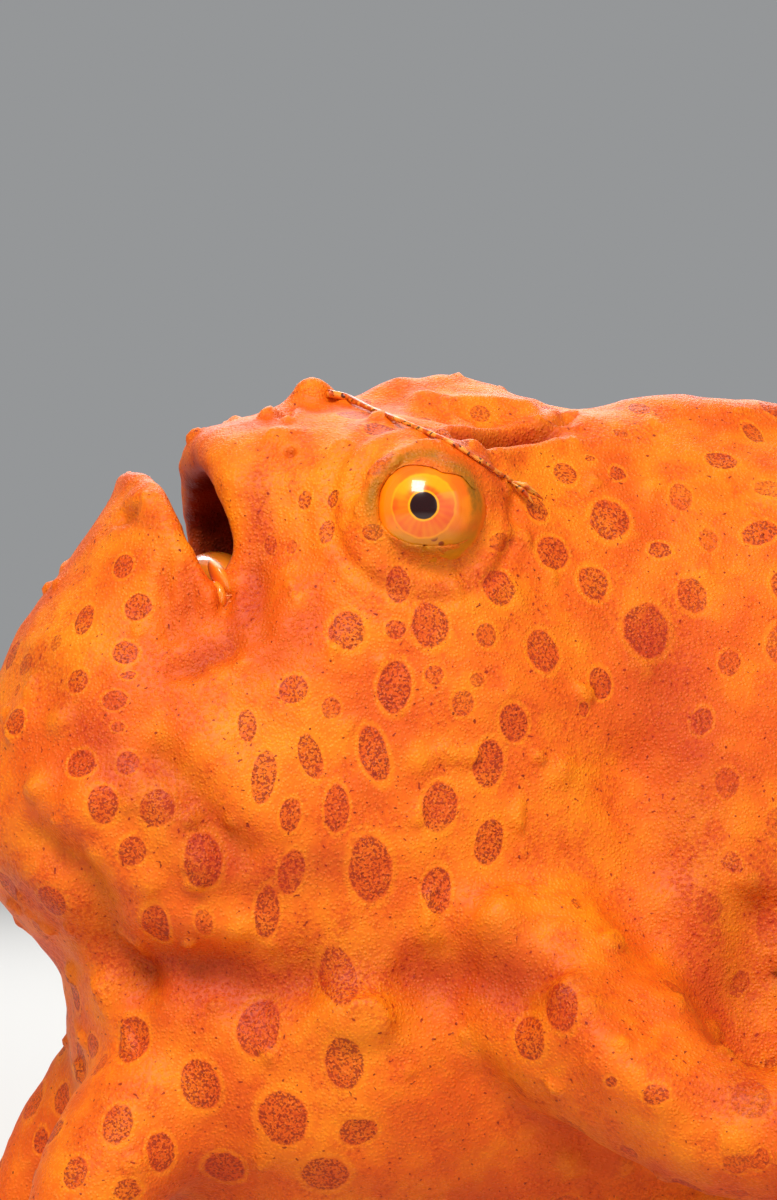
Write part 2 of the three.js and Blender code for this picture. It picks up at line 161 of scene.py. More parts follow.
class Finish:
    """A new material with its coordinates and its shader."""

    def __init__(self, name, **values):
        self.material = bpy.data.materials.new(name)
        self.material.use_nodes = True
        tree = self.material.node_tree
        self.shader = tree.nodes["Principled BSDF"]
        self.any = Wire(tree, None)
        self.place = self.any.node("ShaderNodeTexCoord", {}, {}, 3)
        for key, value in values.items():
            self.shader.inputs[key.replace("_", " ")].default_value = value

    def noise(self, scale, detail=2.0, rough=0.5, twist=0.0):
        sockets = {"Vector": self.place, "Scale": scale, "Detail": detail, "Roughness": rough}
        sockets["Distortion"] = twist
        return self.any.node("ShaderNodeTexNoise", {}, sockets)

    def cells(self, scale):
        return self.any.node("ShaderNodeTexVoronoi", {}, {"Vector": self.place, "Scale": scale})

    def mark(self, name):
        return self.any.node("ShaderNodeAttribute", {"attribute_name": name}, {}, 2)

    def feed(self, **values):
        for key, value in values.items():
            self.any.tree.links.new(value.socket, self.shader.inputs[key.replace("_", " ")])

    def bump(self, height, strength, depth):
        sockets = {"Height": height, "Strength": strength, "Distance": depth * MM}
        self.feed(Normal=self.any.node("ShaderNodeBump", {}, sockets))


def skin_finish(name, fins=False):
    """Orange velvet with dark stippled spots in pale rims, painted highlights on the warts, and
    painted shade and shadow in the folds, under overhangs and on the underside.
    """
    f = Finish(
        name,
        Roughness=0.5,
        Subsurface_Weight=0.12,
        Subsurface_Scale=0.0015,
        Specular_IOR_Level=0.28,
    )
    f.shader.inputs["Subsurface Radius"].default_value = (1.0, 0.35, 0.1)
    spot = f.mark("spot")
    fold = f.mark("fold")
    wart = f.mark("wart")
    clouds = f.noise(75, 3, 0.6)
    patches = f.noise(260, 3, 0.55)
    strength = f.mark("strength")
    velvet = f.cells(2700)
    grain = f.noise(2300, 2, 0.6)
    dots = f.noise(3700, 1, 0.5, 0.4)
    rare = f.noise(2300, 0, 0.5)
    colour = (clouds * 0.6 + patches * 0.4).above(0.42, 0.7).mixed(ORANGE, GOLD)
    colour = (clouds.below(0.34, 0.5) * 0.4).mixed(colour, RUST)
    # Painted highlight on the warts; on the fins this mark holds gold flecks along the rays.
    colour = (wart * 0.7).mixed(colour, GOLD)
    edge = spot + (patches - 0.5) * 0.45 + (grain - 0.5) * 0.15
    rim = edge.above(0.95, 1.05) * edge.below(1.12, 1.36) * strength
    colour = (rim * 0.55).mixed(colour, GOLD)
    inner = edge.below(0.9, 1.0) * strength
    colour = (inner * 0.38).mixed(colour, RUST)
    packed = 0.545 - 0.06 * edge.above(0.55, 0.95)
    stipple = (dots - packed).above(-0.045, 0.035)
    colour = (inner * stipple * 0.74).mixed(colour, MAROON)
    haze = (patches.below(0.4, 0.52)) * (grain - 0.5).above(-0.03, 0.06) * 0.4
    colour = haze.mixed(colour, RUST)
    colour = (rare.above(0.79, 0.81) * 0.85).mixed(colour, MAROON)
    colour = (velvet.above(0.35, 0.7) * 0.22).mixed(colour, RUST)
    colour = (velvet.below(0.05, 0.25) * 0.1).mixed(colour, CREAM)
    if fins:
        ray = f.mark("ray")
        along = f.mark("along")
        colour = (ray.below(0.05, 0.6) * 0.4).mixed(colour, RUST)
        colour = (along.above(0.9, 1.0) * 0.6).mixed(colour, GOLD)
    else:
        inside = f.mark("inside")
        olive = f.mark("olive") * (0.35 + patches.above(0.35, 0.6) * 0.6)
        colour = olive.mixed(colour, tone(158, 100, 8))
        lining = patches.above(0.4, 0.6).mixed(tone(92, 18, 10), tone(146, 50, 8))
        colour = (inside * 0.92).mixed(colour, lining)
    # Painted shade and shadow: on the underside, along the painted shade lines and towards the
    # fins' roots.
    shade = f.mark("shade")
    colour = (shade * (0.5 + 0.25 * grain.above(0.45, 0.6))).mixed(colour, tone(170, 38, 0))
    # Painted shade in the creases, the nostrils, the gill pores and at the fins' roots.
    colour = (fold * 0.85).mixed(colour, MAROON)
    f.feed(Base_Color=colour, Roughness=0.42 + grain * 0.25)
    height = velvet.below(0.0, 0.6) * 0.6 + grain * 0.5 + patches * 1.2
    f.bump(height, 0.7, 0.22)
    return f.material


def mesh_piece(name, mesh, material, slot, *nodes):
    """A finished piece: an object at the origin that rides on the body and stands for its nodes."""
    piece = bpy.data.objects.new(name, mesh)
    bpy.context.scene.collection.objects.link(piece)
    mesh.materials.clear()
    mesh.materials.append(material)
    for polygon in mesh.polygons:
        polygon.use_smooth = True
    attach(piece, "root")
    if nodes:
        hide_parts(*nodes)
    return piece


def coords(mesh):
    flat = np.empty(len(mesh.vertices) * 3, np.float32)
    mesh.vertices.foreach_get("co", flat)
    return flat.reshape(-1, 3).astype(float) / MM - SHIFT


def set_coords(mesh, points):
    mesh.vertices.foreach_set("co", ((points + SHIFT) * MM).astype(np.float32).ravel())
    mesh.update()


def normals_of(mesh):
    flat = np.empty(len(mesh.vertices) * 3, np.float32)
    mesh.vertices.foreach_get("normal", flat)
    return flat.reshape(-1, 3).astype(float)


def paint(mesh, name, values):
    """A number for each vertex, for the material to read."""
    layer = mesh.attributes.new(name, "FLOAT", "POINT")
    layer.data.foreach_set("value", np.asarray(values, np.float32))


def edges_of(mesh):
    flat = np.empty(len(mesh.edges) * 2, np.int32)
    mesh.edges.foreach_get("vertices", flat)
    return flat.reshape(-1, 2)


def evened(values, edges, weight=0.5, rounds=1):
    """Each vertex's values drawn towards its neighbours' mean."""
    count = np.bincount(edges.ravel(), minlength=len(values)).astype(float)
    count[count == 0] = 1
    values = values.copy()
    weight = np.asarray(weight, float)
    if weight.ndim == 1 and values.ndim == 2:
        weight = weight[:, None]
    both = np.concatenate([edges[:, 0], edges[:, 1]])
    other = np.concatenate([edges[:, 1], edges[:, 0]])
    for _ in range(rounds):
        columns = values if values.ndim == 2 else values[:, None]
        sums = [np.bincount(both, c[other], len(values)) / count for c in columns.T]
        mean = np.stack(sums, 1) if values.ndim == 2 else sums[0]
        values += (mean - values) * weight
    return values


def ramp(values, start, end):
    t = np.clip((values - start) / (end - start), 0, 1)
    return t * t * (3 - 2 * t)


def near_line(points, line):
    """Distance to a broken line, and how far along it (0 to 1), for each point."""
    best = np.full(len(points), 1e9)
    along = np.zeros(len(points))
    lengths = np.linalg.norm(np.diff(line, axis=0), axis=1)
    starts = np.concatenate([[0], np.cumsum(lengths)])
    for i in range(len(line) - 1):
        a, b = line[i], line[i + 1]
        t = np.clip((points - a) @ (b - a) / max(lengths[i] ** 2, 1e-9), 0, 1)
        d = np.linalg.norm(points - a - t[:, None] * (b - a), axis=1)
        closer = d < best
        best[closer] = d[closer]
        along[closer] = (starts[i] + t[closer] * lengths[i]) / starts[-1]
    return best, along


# The skin

FLESH = [
    "head",
    "lower_jaw",
    "throat",
    "trunk",
    "hind_body",
    "tail_stalk",
    "illicium_base",
    "dorsal_spine_2",
    "dorsal_spine_3",
    "pectoral_arm_left",
    "pectoral_arm_right",
    "pelvic_leg_left",
    "pelvic_leg_right",
]
WRIST = np.array([89.2, -43.4, 0.0])
ANKLE = np.array([1.5, -15.5, 0.0])


def joined_flesh():
    """The flesh nodes, swelled a little so that the gaps between them close."""
    whole = bmesh.new()
    for name in FLESH:
        one = bmesh.new()
        one.from_mesh(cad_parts[name].data)
        bmesh.ops.remove_doubles(one, verts=one.verts, dist=1e-6)
        one.normal_update()
        swell = 0.6 if "spine" in name or "leg" in name or "arm" in name or "base" in name else 0.25
        for v in one.verts:
            v.co += v.normal * swell * MM
        part = bpy.data.meshes.new("part")
        one.to_mesh(part)
        one.free()
        whole.from_mesh(part)
        bpy.data.meshes.remove(part)
    knob = (np.array([31.9, -0.6, 92.9]), (2.3, 2.5, 3.2))
    for centre, size in ((WRIST, (7.4, 7.4, 4.2)), (ANKLE, (5.4, 5.4, 3.8)), knob):
        for side in (1, -1) if centre[1] < -5 else (1,):
            middle = place(centre * [1, side, 1])
            turn = Matrix.Translation(middle) @ Matrix.Diagonal((*[s * MM for s in size], 1))
            bmesh.ops.create_icosphere(whole, subdivisions=3, radius=1, matrix=turn)
    mesh = bpy.data.meshes.new("flesh")
    whole.to_mesh(mesh)
    whole.free()
    return mesh


def remeshed(mesh, size):
    rough = bpy.data.objects.new("rough", mesh)
    bpy.context.scene.collection.objects.link(rough)
    remesh = rough.modifiers.new("remesh", "REMESH")
    remesh.mode = "VOXEL"
    remesh.voxel_size = size * MM
    evaluated = rough.evaluated_get(bpy.context.evaluated_depsgraph_get())
    made = bpy.data.meshes.new_from_object(evaluated)
    bpy.data.objects.remove(rough)
    return made


def finer(mesh, wanted):
    """Subdivides the faces whose vertices are all wanted."""
    bm = bmesh.new()
    bm.from_mesh(mesh)
    bm.verts.ensure_lookup_table()
    edges = [e for e in bm.edges if wanted[e.verts[0].index] and wanted[e.verts[1].index]]
    bmesh.ops.subdivide_edges(bm, edges=edges, cuts=1, use_grid_fill=True)
    bmesh.ops.triangulate(bm, faces=[f for f in bm.faces if len(f.verts) > 4])
    bm.to_mesh(mesh)
    bm.free()


VOXEL = 1.12  # much finer, and the skin has more than 200,000 triangles
skin = remeshed(joined_flesh(), VOXEL)
points = coords(skin)
points = evened(points, edges_of(skin), 0.5, 5)
points[:, 2] = np.maximum(points[:, 2], 0.0)
TAIL_ROOT = 158.5
points[:, 1] *= 1 - 0.6 * ramp(points[:, 0], 144, TAIL_ROOT)
set_coords(skin, points)
finer(skin, (points[:, 0] < 60) & (points[:, 2] > 24))
points = coords(skin)
edges = edges_of(skin)
points = evened(points, edges, 0.5, 3)
eye = np.array([EYE[0], -EYE[1], EYE[2]])
from_eye = np.hypot(points[:, 0] - eye[0], points[:, 2] - eye[2])
near_eye = np.exp(-(((from_eye - 6.6) / 2.4) ** 2)) * (points[:, 2] > 60)
points = evened(points, edges, 0.5 * near_eye, 10)


def gaze(side):
    """The way that an eye looks."""
    way = np.array([-0.22, side, 0.06])
    return way / np.linalg.norm(way)


def round_eye(points, side):
    """Offset from an eye's axis, its length, and height above the eye's middle along it."""
    q = points - [EYE[0], side * EYE[1], EYE[2]]
    out = q @ gaze(side)
    q = q - out[:, None] * gaze(side)
    return q, np.linalg.norm(q, axis=1), out


BALL = 6.32  # the eyeball's radius as it is dressed
OVER = 0.14  # how far the lid's edge lies over it
DRAWN = 1.6  # how far the lid's edge is drawn in


def lidded(points):
    """The lids drawn in over the eyeballs, so that only the middle of each shows."""
    points = points.copy()
    for side in (1, -1):
        q, _, out = round_eye(points, side)
        rim = np.array([1.0, side * 3.0, -0.3])
        rim -= (rim @ gaze(side)) * gaze(side)
        spoke = q - rim
        r = np.maximum(np.linalg.norm(spoke, axis=1), 1e-6)
        pull = ramp(9.0 - r, 0, 3.4) * ramp(out, 0.6, 2.2)
        moved = spoke * (1 - DRAWN * pull / r)[:, None] + rim * (1 - pull)[:, None]
        dome = np.sqrt(np.maximum(BALL**2 - (moved**2).sum(1), 0)) + OVER
        raised = out + (np.maximum(out, dome) - out) * ramp(pull, 0, 0.4)
        points += moved - q + (raised - out)[:, None] * gaze(side)
    return points


points = lidded(points)
set_coords(skin, points)

sight_from = camera.location.copy()


def surface(mesh):
    return BVHTree.FromPolygons(
        [v.co for v in mesh.vertices], [tuple(p.vertices) for p in mesh.polygons]
    )


smooth_skin = surface(skin)


def seen(px, py):
    """Where a place in the picture lies on the skin, and the way the skin faces there."""
    hit, normal, _, _ = smooth_skin.ray_cast(sight_from, sight(px, py))
    if hit is None:
        return None
    return np.array(hit) / MM - SHIFT, np.array(normal)


def seen_line(*pixels):
    hits = [seen(*p) for p in pixels]
    return np.array([h[0] for h in hits if h is not None])


# Folds: pixels of the picture that each one passes through, depth and half-width.
FOLDS = [
    ([(140, 740), (185, 780), (210, 825), (240, 850), (262, 872)], 1.3, 1.9),
    ([(12, 820), (50, 850), (80, 870), (100, 900), (115, 945), (140, 980), (165, 1010)], 1.4, 2.0),
    ([(120, 985), (160, 962), (210, 972), (260, 990), (300, 978), (330, 950)], 1.5, 2.4),
    ([(385, 962), (430, 985), (470, 975), (520, 990), (560, 965)], 1.2, 2.6),
    ([(628, 720), (640, 790), (655, 860), (650, 930), (640, 985)], 1.1, 3.6),
    ([(242, 634), (228, 652), (195, 668), (160, 674)], 0.55, 1.1),
    ([(228, 585), (225, 600), (221, 616)], 1.0, 0.6),
    ([(765, 880), (752, 980), (742, 1060)], 2.4, 4.5),
    ([(168, 552), (166, 600), (172, 648)], 0.7, 0.8),
    ([(188, 556), (190, 604), (186, 640)], 0.6, 0.8),
    ([(560, 970), (610, 1060), (690, 1118)], -1.4, 2.6),
    ([(426, 427), (450, 436), (480, 441), (512, 438), (540, 434), (562, 430)], 2.1, 0.95),
    ([(400, 404), (450, 406), (500, 408), (545, 414)], -1.5, 2.2),
    ([(572, 398), (570, 414), (562, 428)], 1.1, 0.7),
    ([(284, 418), (290, 408), (290, 396)], 0.8, 0.7),
    ([(334, 404), (331, 396), (334, 388)], 0.7, 0.7),
    ([(404, 444), (436, 438), (470, 450)], 0.4, 0.8),
    ([(250, 560), (262, 600), (262, 650)], 0.5, 1.3),
    ([(330, 590), (300, 640), (240, 690)], 0.4, 1.8),
    ([(100, 512), (118, 520), (138, 514)], 0.9, 0.9),
]
# Painted shade and shadow under overhangs and along hollows, where the skin is made deeper in
# colour: pixels that each line passes through, and half-width.
PAINTED_SHADE_LINES = [
    ([(20, 880), (80, 930), (150, 975), (260, 985), (380, 972), (560, 990)], 4.2),
    ([(150, 770), (200, 850), (262, 880), (330, 865)], 2.4),
    ([(655, 640), (690, 760), (690, 900), (730, 1010)], 4.5),
    ([(430, 431), (480, 438), (520, 436), (560, 428)], 1.5),
    ([(255, 480), (262, 540), (245, 620), (200, 665)], 1.8),
    ([(105, 505), (125, 520), (150, 520)], 1.3),
    ([(380, 575), (433, 592), (490, 570)], 1.6),
    ([(0, 960), (30, 1010), (70, 1060)], 2.5),
    ([(770, 880), (755, 990), (745, 1080)], 4.0),
    ([(40, 660), (100, 740), (140, 800)], 2.2),
]
# Warts: pixel, radius and height.
WARTS = [
    (60, 720, 1.6, 0.9),
    (40, 785, 1.8, 0.9),
    (95, 855, 1.5, 0.8),
    (150, 880, 1.5, 0.8),
    (200, 865, 1.5, 0.7),
    (240, 925, 1.8, 1.0),
    (375, 1015, 2.6, 1.6),
    (500, 920, 3.2, 2.0),
    (430, 935, 1.6, 0.8),
    (110, 985, 1.6, 0.9),
    (311, 390, 1.7, 1.1),
    (345, 445, 0.9, 0.6),
    (300, 600, 1.2, 0.6),
    (420, 760, 1.5, 0.6),
    (560, 770, 1.7, 0.7),
    (520, 600, 1.1, 0.4),
    (590, 1010, 1.4, 0.7),
]


gill = np.array(smooth_skin.ray_cast(place((76, -60, 35)), Vector((0, 1, 0)))[0]) / MM - SHIFT


def sculpted(points):
    """Folds, painted shade and shadow, warts with painted highlights, nostrils and gill pores with
    painted shade, and lids' rings, alike on both sides.
    """
    push = np.zeros(len(points))
    fold = np.zeros(len(points))
    shade = np.zeros(len(points))
    wart = np.zeros(len(points))
    for side in (1, -1):
        flip = np.array([1, side, 1])
        q = points * flip
        for pixels, depth, width in FOLDS:
            line = seen_line(*pixels)
            if len(line) < 2:
                continue
            d, t = near_line(q, line)
            ends = ramp(t, -0.02, 0.15) * ramp(1 - t, -0.02, 0.15)
            dent = np.exp(-((d / width) ** 2)) * ends
            push -= depth * dent
            push += 0.35 * depth * np.exp(-(((d - 2.2 * width) / (1.1 * width)) ** 2)) * ends
            # The narrower creases also get painted shade.
            if depth > 0 and width < 3:
                fold = np.maximum(fold, dent * min(1, depth / 2.2) * (0.8 if width < 1.5 else 0.5))
        for pixels, width in PAINTED_SHADE_LINES:
            d, _ = near_line(q, seen_line(*pixels))
            shade = np.maximum(shade, np.exp(-((d / width) ** 2)))
        for px, py, radius, height in WARTS:
            hit = seen(px, py)
            if hit is None:
                continue
            d = np.linalg.norm(q - hit[0], axis=1)
            dome = np.exp(-((d / radius) ** 2 * 1.3))
            push += height * dome
            # Painted highlight over each wart.
            wart = np.maximum(wart, dome)
        for hole, radius in ((seen(290, 452)[0], 0.85), (gill, 1.5)):
            d = np.linalg.norm(q - hole, axis=1) / radius
            ring = 0.4 * np.exp(-(((d - 1.15) / 0.4) ** 2))
            push += radius * (ring - 1.1 * np.exp(-((d / 0.6) ** 2)))
            # Painted shade inside the nostril and the gill pore.
            fold = np.maximum(fold, np.exp(-((d / 0.62) ** 2)))
        d = np.linalg.norm((q - eye) * [1, 0.6, 1], axis=1)
        outside = ramp(d, EYE_RADIUS + 0.2, EYE_RADIUS + 1.2)
        push += 0.35 * np.cos((d - 8.2) * 2.3) * np.exp(-(((d - 8.5) / 2.5) ** 2)) * outside
    return push, fold, shade, wart


def lumps(points):
    """Slow swellings of the skin."""
    out = np.empty(len(points))
    for i, p in enumerate(points):
        v = Vector(p)
        out[i] = 0.55 * noise.noise(v / 13) + 0.3 * noise.noise(v / 6 + Vector((9, 9, 9)))
        out[i] += 0.16 * noise.noise(v / 2.4)
    return out


normals = normals_of(skin)
push, fold, shade, wart = sculpted(points)
bumps = lumps(points)
wild = np.array([noise.noise(Vector(p) / 3.1 + Vector((40, 3, 7))) for p in points])
small_warts = ramp(wild, 0.42, 0.62) * ramp(points[:, 2], 3, 8)

# Round the eyes the skin is smooth, with an olive arc above and an olive patch below.
calm = np.zeros(len(points))
olive = np.zeros(len(points))
for side in (1, -1):
    q, r, out = round_eye(points, side)
    near = ramp(out, -2, 1)
    calm = np.maximum(calm, near * np.exp(-((r / 6.6) ** 4)))
    arc = np.exp(-(((r - 5.3) / 0.75) ** 2)) * (0.3 + 0.7 * ramp(q[:, 2], -2.5, 1.5))
    patch = np.exp(-(((r - 4.2) / 0.8) ** 2)) * ramp(-q[:, 2], 2.0, 3.6)
    olive = np.maximum(olive, near * np.maximum(arc, 0.7 * patch))
push = (push + bumps + 0.6 * small_warts) * (1 - 0.9 * calm)
# Painted highlight on the small warts too.
wart = np.maximum(wart, 0.8 * small_warts)
mouth_middle = np.array([24.0, 0, 78])
from_mouth = points - mouth_middle
x, y, z = (from_mouth / [9, 14.5, 9]).T
gape = np.exp(-(x**2) - y**6 - z**4)
facing_in = (normals * -from_mouth).sum(1) > 0
inside = np.where(facing_in, ramp(gape, 0.25, 0.6), 0.0)
inside = evened(inside, edges, 0.5, 3)
push *= 1 - inside
points = points + normals * push[:, None]
points[:, 2] = np.maximum(points[:, 2], 0.0)
set_coords(skin, points)

# The spots: pixel, width and height of each one that the picture shows.
SPOTS = """305,500,16,22 333,498,14,20 327,532,18,28 373,532,22,18 270,545,14,20 292,547,12,16
348,632,38,42 395,630,22,20 398,585,26,38 430,625,38,48 486,635,24,26 544,651,36,44 500,588,36,38
501,542,28,20 537,508,28,32 552,553,36,36 593,583,34,38 610,520,44,50 565,473,28,30 619,471,20,22
590,458,14,10 722,458,38,26 660,550,28,20 645,630,50,60 599,683,26,34 583,709,12,16 512,722,30,40
463,703,24,28 434,675,20,20 476,680,18,16 395,687,34,52 488,764,32,52 488,842,32,52 439,808,36,52
436,890,30,50 375,755,30,60 310,755,24,50 331,708,20,24 294,690,30,30 247,725,20,34 264,777,26,60
290,815,22,36 337,808,24,48 370,868,44,68 292,872,26,50 267,912,26,56 203,860,38,56 204,920,20,32
160,920,30,50 157,808,38,40 103,806,32,40 133,850,28,30 127,763,24,26 80,763,32,30 123,566,24,26
137,606,30,30 124,652,28,26 84,620,22,38 57,643,16,20 78,681,24,26 115,700,26,20 118,727,16,12
128,675,18,10 27,665,28,24 17,690,12,14 13,720,26,28 55,898,34,40 75,990,28,44 135,1040,38,50
80,1065,28,50 200,1085,42,54 118,1125,32,44 161,1152,30,44 225,1168,40,42 258,1028,44,60
283,1118,52,60 338,978,38,70 345,1060,40,60 358,1130,40,30 325,1173,50,48 75,1173,28,34
127,1190,34,24 565,1010,38,50 531,1038,38,46 575,907,12,18 615,1080,18,16 657,1095,30,22
735,1165,26,24 760,1160,18,26 425,415,16,20 480,415,24,20 620,435,20,14
402,521,9,9 416,536,9,10 461,537,9,9"""


def spot_list(surface_points, surface_normals):
    """Centre, facing, long way, half-width and half-height of every spot, on both sides."""
    listed = []
    up = np.array([0.0, 0, 1])
    for words in SPOTS.split():
        px, py, w, h = (float(v) for v in words.split(","))
        hit = seen(px, py)
        if hit is None:
            continue
        for side in (1, -1):
            flip = np.array([1, side, 1])
            shift = np.zeros(3) if side == 1 else rng.normal(0, 1.3, 3) * [1, 0, 1]
            lean = up + np.array([rng.normal(0, 0.18), 0, 0])
            sure = 1.0 if w * h > 700 else rng.uniform(0.6, 1)
            listed.append((hit[0] * flip + shift, hit[1] * flip, lean, w / 20, h / 20, sure))
    taken = np.array([s[0] for s in listed])
    order = rng.permutation(len(surface_points))
    for i in order[:9000]:
        p, n = surface_points[i], surface_normals[i]
        radius = rng.uniform(1.0, 2.1)
        hidden = p[0] > 66 or n[1] * np.sign(p[1]) < 0.35 or p[2] < 12
        mouth = (p[0] < 34 and p[2] > 69) or np.hypot(p[0] - EYE[0], p[2] - EYE[2]) < 7
        if mouth or not hidden or np.linalg.norm(taken - p, axis=1).min() < radius + 3.4:
            continue
        along = up + rng.normal(0, 0.5, 3)
        wide, high = radius * rng.uniform(0.75, 1), radius * rng.uniform(1, 1.35)
        listed.append((p, n, along, wide, high, rng.uniform(0.5, 1)))
        taken = np.vstack([taken, p])
    return listed


def paint_spots(mesh, points, listed):
    """How far each vertex is from the nearest spot, 1 being its edge, and how dark that spot is."""
    field = np.full(len(points), 3.0)
    strength = np.ones(len(points))
    for centre, facing, along, half_w, half_h, sure in listed:
        reach = 3 * max(half_w, half_h)
        near = np.where(np.abs(points - centre).max(axis=1) < reach)[0]
        if not len(near):
            continue
        a = along - facing * (along @ facing)
        a /= np.linalg.norm(a)
        b = np.cross(facing, a)
        d = points[near] - centre
        value = np.sqrt(
            ((d @ a) / half_h) ** 2 + ((d @ b) / half_w) ** 2 + ((d @ facing) / (2.2 * half_w)) ** 2
        )
        closer = value < field[near]
        field[near[closer]] = value[closer]
        strength[near[closer]] = sure
    paint(mesh, "spot", field)
    paint(mesh, "strength", strength)


spots = spot_list(points, normals)
paint_spots(skin, points, spots)
# Painted shade in the creases and pores.
paint(skin, "fold", np.clip(evened(fold, edges, 0.5, 2), 0, 1))
# Painted highlight on the warts.
paint(skin, "wart", wart)
# Painted shade on the surfaces that face down, joined with the painted shade and shadow along the
# lines.
underside_shade = ramp(-normals[:, 2], 0.2, 0.9) * 0.6
paint(skin, "shade", np.maximum(shade * 0.75, underside_shade))
paint(skin, "inside", inside)
paint(skin, "olive", olive)
SKIN = skin_finish("frogfish skin")
FIN = skin_finish("frogfish fin", fins=True)
mesh_piece("skin", skin, SKIN, "skin", *FLESH)


# Fins


def top_of(x, z_from=150.0, down=-1):
    """The height of the back, or of the underside, at x."""
    hit, _, _, _ = smooth_skin.ray_cast(place((x, 0, z_from)), Vector((0, 0, down)))
    return hit.z / MM


def lerp(a, b, t):
    return a + (b - a) * t


def fin_mesh(name, rays, root, tip, normal, thick, lift=None, flat=False, sink=3.0, rows=30):
    """A membrane between a root line and a tip line, with its rays raised on both faces."""
    columns = rays * 8
    bm = bmesh.new()
    for z in (0.5, -0.5):
        turn = Matrix.Translation((0, 0, z))
        cells = {"x_segments": columns, "y_segments": rows}
        sheet = bmesh.ops.create_grid(bm, size=0.5, matrix=turn, **cells)
        if z < 0:
            faces = list({f for v in sheet["verts"] for f in v.link_faces})
            bmesh.ops.reverse_faces(bm, faces=faces)
    rims = [e for e in bm.edges if e.is_boundary]
    bmesh.ops.bridge_loops(bm, edges=rims)
    mesh = bpy.data.meshes.new(name)
    bm.to_mesh(mesh)
    bm.free()
    flat_co = np.empty(len(mesh.vertices) * 3, np.float32)
    mesh.vertices.foreach_get("co", flat_co)
    g = flat_co.reshape(-1, 3).astype(float)
    u, v, side = g[:, 0] + 0.5, g[:, 1] + 0.5, np.sign(g[:, 2])
    phase = (u * rays) % 1 - 0.5
    ridge = np.exp(-((phase / 0.2) ** 2))
    rim = 1 - ramp(np.minimum(u, 1 - u), 0, 0.4 / rays) * 0.999
    corner = 1 - 0.17 * (1 - ramp(np.minimum(u, 1 - u), 0, 1.4 / rays))
    reach = v * corner * (0.96 + 0.04 * np.sqrt(np.abs(np.cos(phase * math.pi))))
    jag = 0.004 * np.sin(u * rays * 29) * ramp(v, 0.85, 1)
    joints = 0.06 * np.sin(v * 70) * ramp(v, 0.2, 0.4) * ridge
    split = ramp(v, 0.45, 0.9) * 0.45 * np.exp(-((phase / 0.07) ** 2))
    ridge = np.clip(ridge - split + joints, 0, 1)
    root_flesh = 1.3 * np.exp(-v / 0.09)
    out = np.empty_like(g)
    for i in range(len(g)):
        a, b = root(u[i]), tip(u[i])
        way = (b - a) / max(np.linalg.norm(b - a), 1e-6)
        start = a - way * sink
        out[i] = start + (b - start) * (reach[i] + jag[i])
        half = (thick[0] + thick[1] * ridge[i]) * (1 - 0.78 * v[i]) * (1 - 0.6 * rim[i])
        half += root_flesh[i] * (1 - rim[i]) if not flat else 0
        n = normal(u[i])
        if flat:
            out[i] += n * (2 * half + 0.12) * (1 if side[i] > 0 else 0)
        else:
            out[i] += n * (half + 0.1) * side[i]
        if lift:
            out[i] += n * lift(u[i], v[i])
    set_coords(mesh, out)
    if volume(mesh) < 0:
        mesh.flip_normals()
    faces = normals_of(mesh)
    seeds = rng.permutation(len(out))
    listed, taken = [], np.full((1, 3), 1e6)
    for i in seeds[:2500]:
        if v[i] < 0.12 or v[i] > 0.93:
            continue
        if np.linalg.norm(taken - out[i], axis=1).min() < 4.6:
            continue
        taken = np.vstack([taken, out[i]])
        size = rng.uniform(0.8, 1.5)
        listed.append((out[i], faces[i], np.array([0.2, 0.1, 1.0]), size, size * 1.25, 0.9))
    paint_spots(mesh, out, listed)
    paint(mesh, "ray", ridge)
    paint(mesh, "along", v)
    # Painted shade at the fin's root, where it meets the body.
    paint(mesh, "fold", 0.5 * ramp(0.16 - v, 0, 0.1))
    paint(mesh, "shade", 0.4 * ramp(0.4 - v, 0, 0.4))
    paint(mesh, "wart", 0.6 * ridge * ramp(np.sin(v * 40 + u * 50), 0.5, 0.9))
    return mesh


def volume(mesh):
    bm = bmesh.new()
    bm.from_mesh(mesh)
    value = bm.calc_volume(signed=True)
    bm.free()
    return value


def vec(*values):
    return np.array(values, float)


Y_WAY = vec(0, 1, 0)


def fan(length, angle):
    return vec(math.cos(angle) * length, 0, math.sin(angle) * length)


def dorsal_root(u):
    x = lerp(103, 152, u)
    return vec(x, 0, top_of(x) - 0.8)


def dorsal_tip(u):
    length = 17 + 15 * math.sin(math.pi * min(1, 0.25 + 0.62 * u)) - 4 * u
    return dorsal_root(u) + fan(length, lerp(1.25, 0.55, u))


def anal_root(u):
    x = lerp(118, 149, u)
    return vec(x, 0, top_of(x, -50.0, 1) + 0.8)


def anal_tip(u):
    length = 12 + 9 * math.sin(math.pi * (0.2 + 0.6 * u)) + 2 * u
    end = anal_root(u) + fan(length, lerp(-1.35, -0.55, u))
    return np.maximum(end, [-1e3, -1e3, 1.5])


def caudal_root(u):
    return vec(158.2, 0, lerp(50.5, 30, u))


def caudal_tip(u):
    return caudal_root(u) + fan(38 * (0.86 + 0.14 * math.sin(math.pi * u)), lerp(0.62, -0.62, u))


